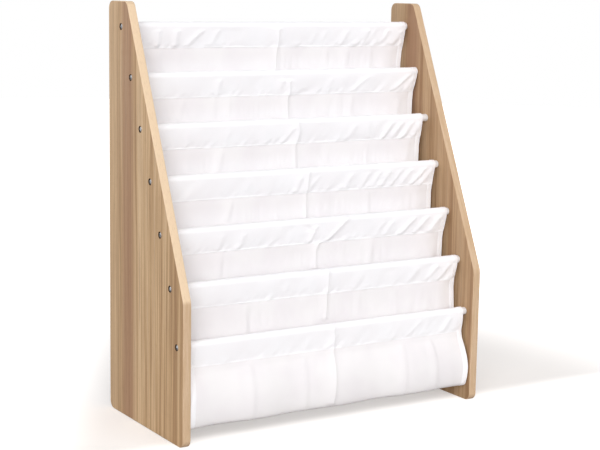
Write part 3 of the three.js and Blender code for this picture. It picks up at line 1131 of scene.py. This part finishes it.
def soft_noise(seed, across, down_cloth, cell_across, cell_down):
    """Smooth random heights from about -1 to 1, from random values on a grid of cells"""
    a = (across + 1.0) / cell_across
    b = (down_cloth + 1.0) / cell_down
    a, b = a - np.floor(a.min()), b - np.floor(b.min())
    size = int(a.max()) + 5, int(b.max()) + 5
    values = np.random.default_rng(seed).uniform(-1, 1, size)
    total = np.zeros(np.broadcast(a, b).shape)
    ia, ib = np.floor(a).astype(int), np.floor(b).astype(int)
    fa, fb = a - ia, b - ib

    def weights(f):
        g = 1 - f
        return g**3 / 6, (3 * f**3 - 6 * f**2 + 4) / 6, (3 * g**3 - 6 * g**2 + 4) / 6, f**3 / 6

    for i, wa in enumerate(weights(fa)):
        for j, wb in enumerate(weights(fb)):
            total += wa * wb * values[ia + i, ib + j]
    return total * 2


# %% [markdown]
# ## Puckers, seams and creases
#
# Up close, a sewn sleeve shows where the thread pulled. Short ridges lean up from the seam, closer together
# towards the right end, where the seam had to take up most. The seam itself is a narrow groove with a ledge
# under it that catches the light. Below it the wall has soft upright folds, and every piece has a crease at
# the middle, because it was folded there in its box. Each of these is a height across the cloth, and their
# sum moves the fine grid along its normals. In the lists, places are in millimetres from the middle and
# from the top of the sleeve.

# %% Note where each tier is gathered and creased
millimetre = 0.001
seam_fall = float(sleeve_legs(rods[0], 1)["front"][1][-1])
centre_creases = (
    ((4, 3), (4, 33), (0, 58), (0, 85)),
    ((6, 10), (8, 33), (4, 46), (5, 85)),
    ((1, -4), (5, 15), (2, 34), (-1, 43), (0, 85)),
    ((2, -2), (2, 11), (2, 34), (0, 41), (0, 85)),
    ((5, 40), (-1, 51), (-1, 85)),
    ((-1, -8), (1, 32), (-1, 85)),
    ((-4, -6), (1, 34), (-9, 138)),
)
gathers = (
    (
        (-241, 0.1, 1.4), (-208, 0.2, 1.4), (-188, 1.2, 1.3), (-136, 0.5, 1.3), (74, 0.4, 0.6),
        (96, 0.4, 0.7), (141, 0.5, 0.9), (188, 0.5, 1.2), (230, 0.6, 1.3), (258, 0.7, 1.0),
    ),
    ((-143, 0.2, 1.2), (-18, 0.4, 0.9), (84, 0.5, 0.7), (140, 1.3, 1.0), (236, 1.2, 1.7), (264, 0.9, 0.8)),
    (
        (-146, 0.3, 0.7), (-30, 0.8, 1.0), (112, 0.5, 0.8), (190, 0.7, 1.3), (211, 0.7, 1.3),
        (236, 0.7, 1.4), (258, 0.6, 1.0),
    ),
    (
        (-125, 0.3, 0.6), (-22, 0.3, 1.0), (2, 0.8, 1.0), (82, 0.5, 1.0), (119, 0.5, 1.1), (141, 0.6, 1.2),
        (160, 0.7, 1.2), (183, 0.8, 1.4), (205, 0.8, 1.3), (230, 1.0, 1.7), (256, 0.7, 0.9),
    ),
    (
        (-200, 0.3, 0.8), (-160, 0.4, 0.8), (-15, 0.4, 1.4), (124, 0.7, 0.9), (147, 0.6, 0.9),
        (182, 1.0, 1.4), (215, 0.9, 1.5), (248, 0.8, 1.4),
    ),
    ((-90, 0.4, 0.5), (60, 0.5, 0.6), (176, 0.7, 0.8), (216, 0.8, 1.3), (244, 0.8, 1.4)),
    ((-60, 0.4, 0.5), (-10, 0.6, 0.8), (108, 0.6, 0.8), (156, 1.0, 1.5), (238, 0.6, 1.3), (262, 0.5, 0.7)),
)
wall_folds = (
    ((-238, -236, 0.8), (-196, -196, 0.5), (112, 110, 0.7), (158, 157, 0.8), (212, 208, 0.9)),
    ((-205, -222, 0.7), (-148, -148, 0.7), (-116, -118, 0.8), (118, 117, 0.7), (146, 142, 0.8)),
    ((-150, -158, 1.1), (157, 157, 0.6), (70, 66, 0.4)),
    ((-150, -162, 1.2), (-60, -62, 0.5), (136, 136, 0.8)),
    ((-192, -196, 1.0), (120, 119, 0.8), (60, 56, 0.4)),
    ((-164, -164, 0.8), (70, 68, 0.5), (150, 152, 0.5)),
    ((-168, -172, 0.8), (-60, -64, 0.8), (150, 146, 0.7), (210, 216, 0.8)),
)
slanting_creases = {
    2: [((157, -2), (157, 34), 1.0)],
    4: [((-33, -9), (-12, 15), -2.4), ((66, -6), (26, 31), 2.6), ((26, 31), (5, 40), 2.6)],
}
print("gathers on each tier", [len(places) for places in gathers])


# %% Turn gathers and creases into heights
gather_scale, fold_scale, centre_size = 1.25, 1.6, 3.2
gather_widths, fold_widths, crease_widths = (0.0085, 0.0042), (0.012, 0.005), (0.0100, 0.0050)
hem_sink, hem_sink_run = 0.0016, 0.030


def ridge(offset, left_width, right_width):
    """A round ridge whose two sides have their own widths"""
    return np.exp(-((offset / np.where(offset < 0, left_width, right_width)) ** 2))


def gathered(tier, x, fall):
    """Ridges that lean up and to the right from the seam, and fade out towards the top of the sleeve"""
    total = np.zeros(np.broadcast(x, fall).shape)
    rise = seam_fall - fall
    for foot, lean, height in gathers[tier]:
        offset = x - foot * millimetre - lean * rise
        fade = smooth(fall, 0.004, 0.020 - 0.009 * height) * (1 - 0.5 * smooth(rise, 0.0045, 0))
        total += gather_scale * height * millimetre * ridge(offset, *gather_widths) * fade
    return total


def crease(x, fall, start, end, height):
    """A sharp straight crease between two places, each given as X and the distance down the cloth"""
    (start_x, start_fall), (end_x, end_fall) = np.array((start, end)) * millimetre
    share = np.clip((fall - start_fall) / (end_fall - start_fall), 0, 1)
    offset = x - start_x - (end_x - start_x) * share
    fade = smooth(fall, start_fall - 0.001, start_fall + 0.001)
    fade = fade * (1 - smooth(fall, end_fall - 0.001, end_fall + 0.001))
    falloff = np.exp(-np.abs(offset) / np.where(offset < 0, *crease_widths))
    return height * millimetre * falloff * fade


def sewn_height(tier, x, fall, is_back):
    """How far the sewing and creases lift the cloth, for one tier's sleeve and wall"""
    seed = 40 + tier + (20 if is_back else 0)
    past_seam = fall - seam_fall
    above_seam = 1 - smooth(past_seam, -0.004, 0.002)
    below_seam = smooth(past_seam, 0, 0.018)
    on_sleeve = smooth(fall, 0.0, 0.010) * above_seam
    leaning = x + 0.6 * past_seam
    gather_share = 0.45 + 0.75 * smooth(x, 0.08, 0.24)
    near_stitches = 0.00085 * ridge(past_seam + 0.004, 0.006, 0.006)
    height = 0
    for number, size, place, cells in (
        (100, 0.00055 * on_sleeve, x, (0.020, 0.030)),
        (500, 0.00060 * on_sleeve * gather_share, leaning, (0.0085, 0.030)),
        (200, 0.00060 * below_seam, x, (0.030, 0.080)),
        (300, 0.00028 * below_seam, x, (0.012, 0.060)),
        (400, near_stitches, leaning, (0.0055, 0.050)),
    ):
        height = height + size * soft_noise(seed + number, place, fall, *cells)
    height -= 0.00014 * ridge(past_seam + 0.0018, 0.0014, 0.0014)
    height += 0.00070 * ridge(past_seam - 0.0002, 0.0014, 0.0007)
    line = centre_creases[tier]
    for start, end in zip(line, line[1:]):
        height += crease(x, fall, start, end, centre_size)
    if not is_back:
        height += gathered(tier, x, fall) * above_seam
        for start, end, size in slanting_creases.get(tier, []):
            height += crease(x, fall, start, end, size)
        for top_x, bottom_x, size in wall_folds[tier]:
            path = np.interp(fall, (seam_fall, 0.085), (top_x * millimetre, bottom_x * millimetre))
            height += fold_scale * size * millimetre * below_seam * ridge(x - path, *fold_widths)
    from_right = cut_width / 2 - fine_cut
    height -= hem_sink * below_seam * (1 - smooth(from_right, hem_width, hem_width + hem_sink_run))

    # The room inward is small on the rod and at the seam, where another layer lies close behind.
    room = np.interp(fall, (-0.01, 0, seam_fall, seam_fall + 0.02), (0.0001, 0.0035, 0.0003, 0.0034))
    return np.maximum(height, -room)


print("the sewing gives heights")

# %% Lift the fine grids
min_radius = rod_radius + cloth_thickness / 2 + 0.00005
cloth_reach = 0.2922


def clear_of_rod(grid, rod, rows):
    """Moves points of a sleeve out to where they lie on the rod's lacquer"""
    y, z = grid[rows, :, 1] - rod.y, grid[rows, :, 2] - rod.z
    distance = np.hypot(y, z)
    push = np.maximum(min_radius / distance, 1)
    grid[rows, :, 1], grid[rows, :, 2] = rod.y + y * push, rod.z + z * push


finished_grids = []
for index, (grid, along, starts) in enumerate(fine_slings):
    x = grid[:, :, 0]
    normals = outward_normals(grid)
    middle = (starts["over"] + starts["front"]) // 2
    own_front = slice(middle, starts["round"] + 1)
    own_back = slice(starts["hem"], middle)
    height = np.zeros(x.shape)
    fall = (along[own_front] - along[starts["front"]])[:, None]
    height[own_front] = sewn_height(index, x[own_front], fall, False)
    fall = (along[starts["over"]] - along[own_back])[:, None]
    height[own_back] = sewn_height(index, x[own_back], fall, True)
    if index == 5:
        low_middle = (starts["low_over"] + starts["low_behind"]) // 2
        low_front = slice((starts["round"] + starts["belly"]) // 2, low_middle)
        low_back = slice(low_middle, starts["end"] + 1)
        fall = (along[starts["low_over"]] - along[low_front])[:, None]
        rising = smooth(along[low_front] - along[low_front.start], 0, 0.025)[:, None]
        height[low_front] = -rising * sewn_height(6, x[low_front], fall, False)
        fall = (along[low_back] - along[starts["low_behind"]])[:, None]
        height[low_back] = -sewn_height(6, x[low_back], fall, True)
    grid = grid + normals * height[:, :, None]
    clear_of_rod(grid, rods[index], slice(starts["hem"], starts["wall"]))
    if index == 5:
        clear_of_rod(grid, rods[6], slice(starts["low_front"] + 1, starts["end"] + 1))
    grid[:, :, 0] = np.clip(grid[:, :, 0], -cloth_reach, cloth_reach)
    finished_grids.append(grid)
    print("sling", index + 1, "lifted by up to", round(float(np.abs(height).max()) * 1000, 2), "mm")

# %% [markdown]
# ## Hidden walls stay behind
#
# The wall at the front of each pocket hangs close behind the next sling's visible wall. Both have moved by
# now, so the hidden one is pushed back to wherever the visible one reaches, and a little more.

# %% Push each hidden wall behind the visible one
layer_gap = 0.0010
for index in range(5):
    grid, starts = finished_grids[index], fine_slings[index][2]
    front_grid, front_starts = finished_grids[index + 1], fine_slings[index + 1][2]
    hidden = slice(starts["rise"], starts["end"] + 1)
    shown = slice(front_starts["wall"], front_starts["round"])
    pushed = 0
    for column in range(grid.shape[1]):
        heights = front_grid[shown, column, 2]
        order = np.argsort(heights)
        reach = np.interp(grid[hidden, column, 2], heights[order], front_grid[shown, column, 1][order])
        below_seam = grid[hidden, column, 2] <= rods[index + 1].z - sleeve_drop
        needed = np.where(below_seam, reach + layer_gap, -1)
        pushed = max(pushed, (needed - grid[hidden, column, 1]).max())
        grid[hidden, column, 1] = np.maximum(grid[hidden, column, 1], needed)
    print("sling", index + 1, "pushed back by", round(float(pushed) * 1000, 2), "mm")

# %% [markdown]
# ## Cloth with two sides
#
# A surface without thickness has no edge to catch the light. So each grid becomes a closed shell: the same
# grid half a thickness outward, again half a thickness inward, and a narrow rim that joins them. Along both
# sides the cloth is turned over into a hem, which is twice as thick. The attribute "layers"
# is one on the sleeves and hems, where the cloth is double, and zero on a wall. Low on the upper walls it
# rises to a share of one as painted light. There the walls are painted brighter, which stands in for the
# light that the next sleeve throws up on them.


# %% Build the slings
# Painted light: for each sling, how far the low part of its wall is painted towards the double-layer white.
painted_light_by_sling = (0.45, 0.45, 0.45, 0.40, 0.20, 0.0)
painted_light_run, seam_rows = (0.012, 0.045), 3


def cloth_shell(name, grid, along, starts, painted_light_share):
    """One sling's closed mesh, the normals of its grid, and half its thickness at each column"""
    rows, columns = grid.shape[:2]
    normals = outward_normals(grid)
    edge_distance = cut_width / 2 - np.abs(fine_cut)
    half = cloth_thickness / 2 * (2 - smooth(edge_distance, hem_width - 0.0010, hem_width))
    offset = normals * half[None, :, None]
    corners = np.concatenate([(grid + offset).reshape(-1, 3), (grid - offset).reshape(-1, 3)])
    near = grid_faces(rows, columns)
    far = near[:, ::-1] + rows * columns
    number = grid_numbers(rows, columns)
    border = np.concatenate([number[::-1, 0], number[0, 1:], number[1:, -1], number[-1, -2:0:-1]])
    after = np.roll(border, -1)
    rim = np.stack([border, after, after + rows * columns, border + rows * columns], axis=1)
    mesh = new_mesh(name, corners.tolist(), np.concatenate([near, far, rim]).tolist())
    flat = np.stack(np.broadcast_arrays(fine_cut[None, :] + cut_width / 2, along[:, None]), axis=2)
    flat = np.tile(flat.reshape(-1, 2), (2, 1))
    corner_of_loop = np.empty(len(mesh.loops), int)
    mesh.loops.foreach_get("vertex_index", corner_of_loop)
    mesh.uv_layers.new(name="on_cloth").data.foreach_set("uv", flat[corner_of_loop].ravel())
    layers = np.repeat(smooth(hem_width - edge_distance, -0.0010, 0)[None, :], rows, axis=0)
    layers[:starts["wall"] + seam_rows] = 1
    layers[starts.get("low_front", rows + 2) - 2:] = 1
    on_wall = slice(starts["wall"] + seam_rows, starts["round"])
    # Painted light low on the upper walls, for the light that the next sleeve throws up on them.
    painted_wall_light = painted_light_share * smooth(along[on_wall] - along[starts["wall"]], *painted_light_run)[:, None]
    layers[on_wall] = np.maximum(layers[on_wall], painted_wall_light)
    mesh.attributes.new("layers", "FLOAT", "POINT").data.foreach_set("value", np.tile(layers.ravel(), 2))
    return mesh, normals, half


sling_pieces, stitch_paths = [], []
for index, (grid, (_, along, starts)) in enumerate(zip(finished_grids, fine_slings)):
    name = f"sling_{index + 1}_cloth"
    mesh, normals, half = cloth_shell(name, grid, along, starts, painted_light_by_sling[index])
    piece = show(name, mesh, (white_cotton,), 75)
    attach(piece, "root")
    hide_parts(f"sling_{index + 1}")
    sling_pieces.append(piece)
    stitch_paths.append((grid, normals, half, starts))
    print(piece.name, "has", sum(len(p.vertices) - 2 for p in mesh.polygons), "triangles")

# %% [markdown]
# ## Stitches
#
# A sewing machine lays one stitch every three millimetres. A Geometry Nodes tree walks along a path on the
# cloth, sets a point at each pitch and puts a short bead of thread there, turned along the path. The paths
# are the seams under the rods and the lines that hold the side hems, on both faces of the cloth.

# %% Make the stitch tree
sew_line, given = new_tree("sew_line", ("Pitch", "Stitch Length", "Thread Radius", "Finish"))
curve = given["Geometry"].node("GeometryNodeMeshToCurve", None, {"Mesh": given["Geometry"]})
stations = curve.node("GeometryNodeCurveToPoints", {"mode": "LENGTH"}, {
    "Curve": curve, "Length": given["Pitch"],
})
turned = Wire(sew_line, stations.socket.node.outputs["Rotation"])
bead = curve.node("GeometryNodeMeshUVSphere", None, {"Segments": 6, "Rings": 4, "Radius": 1.0})
bead_size = curve.node("ShaderNodeCombineXYZ", None, {
    "X": given["Thread Radius"], "Y": given["Thread Radius"], "Z": given["Stitch Length"] * 0.5,
})
sewn = curve.node("GeometryNodeInstanceOnPoints", None, {
    "Points": stations, "Instance": bead, "Rotation": turned, "Scale": bead_size,
})
close_tree(sewn, given["Finish"])
print("sew_line has", len(sew_line.nodes), "nodes")

# %% Sew the seams and hems
stitch_sizes = {
    "Pitch": 0.0030, "Stitch Length": 0.0024, "Thread Radius": 0.00024, "Finish": white_thread,
}
stitch_inset, stitch_lift = 0.0078, 0.00006
hem_line = int(np.argmin(np.abs(cut_width / 2 + fine_cut - stitch_inset)))

for index, (grid, normals, half, starts) in enumerate(stitch_paths):
    points, edges = [], []

    def add_path(path):
        first = len(points)
        points.extend(path)
        edges.extend((first + i, first + i + 1) for i in range(len(path) - 1))

    last_row = starts["low_behind"] if index == 5 else starts["edge"]
    for face in (-1, 1):
        surface = grid + face * normals * (half[None, :, None] + stitch_lift)
        for leg in ("wall", "low_front"):
            if leg in starts:
                add_path(surface[starts[leg], 3:-3])
        for column in (hem_line, -1 - hem_line):
            add_path(surface[starts["behind"]:last_row, column])
    name = f"sling_{index + 1}_stitches"
    stitches = show(name, grow(name, sew_line, points, edges, stitch_sizes), (), 80)
    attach(stitches, "root")
    f"dowel_{index + 1}"
    f"dowel_{index + 2}"
    print(name, "has", len(stitches.data.polygons), "faces")

# %% [markdown]
# ## Floor, light and air
#
# A white studio has soft light from everywhere. The world gives that, and it is brighter from the left and
# dimmer from above. Two suns with wide discs stand for windows, both in front and above, and the stronger
# one is on the left. To the camera and to metal the world is plain white. The floor shows the camera a
# brighter tone than it throws on the rack, and it whitens farther away, in front and to the left.

# %% Lay the floor
floor_radius, floor_drop = 7.0, 0.0002
near_glow, added_glow, front_share, left_share = 0.38, 0.5, 0.85, 0.9
white_distance, white_front, white_left = (0.55, 1.0), (-0.080, -0.152), (0.37, 0.56)

ring = [
    (floor_radius * math.cos(turn), floor_radius * math.sin(turn), -floor_drop)
    for turn in np.linspace(0, 2 * math.pi, 97)[:-1]
]
floor_mesh = new_mesh("floor", ring, [tuple(range(len(ring)))])
floor_white, spot = new_material("floor_white")
seen = spot.node("ShaderNodeLightPath", output="Is Camera Ray")
shown = spot.noise(40.0, 2.0).between(colour(225, 221, 218), colour(228, 224, 221))
paper = spot.node("ShaderNodeBsdfDiffuse", None, {"Color": seen.between(colour(184, 181, 178), shown)})
from_middle = spot.node("ShaderNodeVectorMath", {"operation": "LENGTH"}, {0: spot}, "Value")
away = from_middle.fade(*white_distance)
in_front = spot.split("Y").fade(*white_front) * front_share
on_left = (spot.split("Y") * 0.6 - spot.split("X")).fade(*white_left) * left_share
whitened = spot.maths("MAXIMUM", spot.maths("MAXIMUM", away, in_front), on_left)
glow = spot.node("ShaderNodeEmission", None, {
    "Color": colour(255, 253, 251), "Strength": seen * (whitened * added_glow + near_glow),
})
both = spot.node("ShaderNodeAddShader", None, {0: paper, 1: glow})
spot.node("ShaderNodeOutputMaterial", None, {"Surface": both})
floor = show("floor", floor_mesh, (floor_white,))
print("the floor is", 2 * floor_radius, "m across")

# %% Light the studio
sky_level, sky_lean, sky_drop, window_disc = 0.58, 0.7, 0.5, 44
windows = {"left_window": (1.72, (0.52, 0.75, -0.42)), "right_window": (0.84, (-0.38, 0.82, -0.42))}

world = bpy.data.worlds.new("studio")
bpy.context.scene.world = world
world.use_nodes = True
world.node_tree.nodes.clear()
heading = Wire(world.node_tree).node("ShaderNodeTexCoord", output="Generated")
seen, mirrored, refracted = (
    heading.node("ShaderNodeLightPath", output=f"Is {kind} Ray")
    for kind in ("Camera", "Glossy", "Transmission")
)
seen = seen.maths("MAXIMUM", seen, seen.maths("MAXIMUM", mirrored, refracted))
sky = sky_level * (1 - heading.split("X") * sky_lean) * (1 - heading.split("Z") * sky_drop)
air = heading.node("ShaderNodeBackground", None, {
    "Color": seen.between(colour(250, 251, 255), colour(255, 255, 255)),
    "Strength": seen * (1 - sky) + sky,
})
heading.node("ShaderNodeOutputWorld", None, {"Surface": air})

for name, (level, direction) in windows.items():
    lamp = bpy.data.lights.new(name, "SUN")
    lamp.energy, lamp.angle = level, math.radians(window_disc)
    lamp_object = add_object(name, lamp)
    lamp_object.rotation_mode = "QUATERNION"
    lamp_object.rotation_quaternion = Vector(direction).to_track_quat("-Z", "Y")
print("sky", sky_level, "windows", {name: level for name, (level, _) in windows.items()})
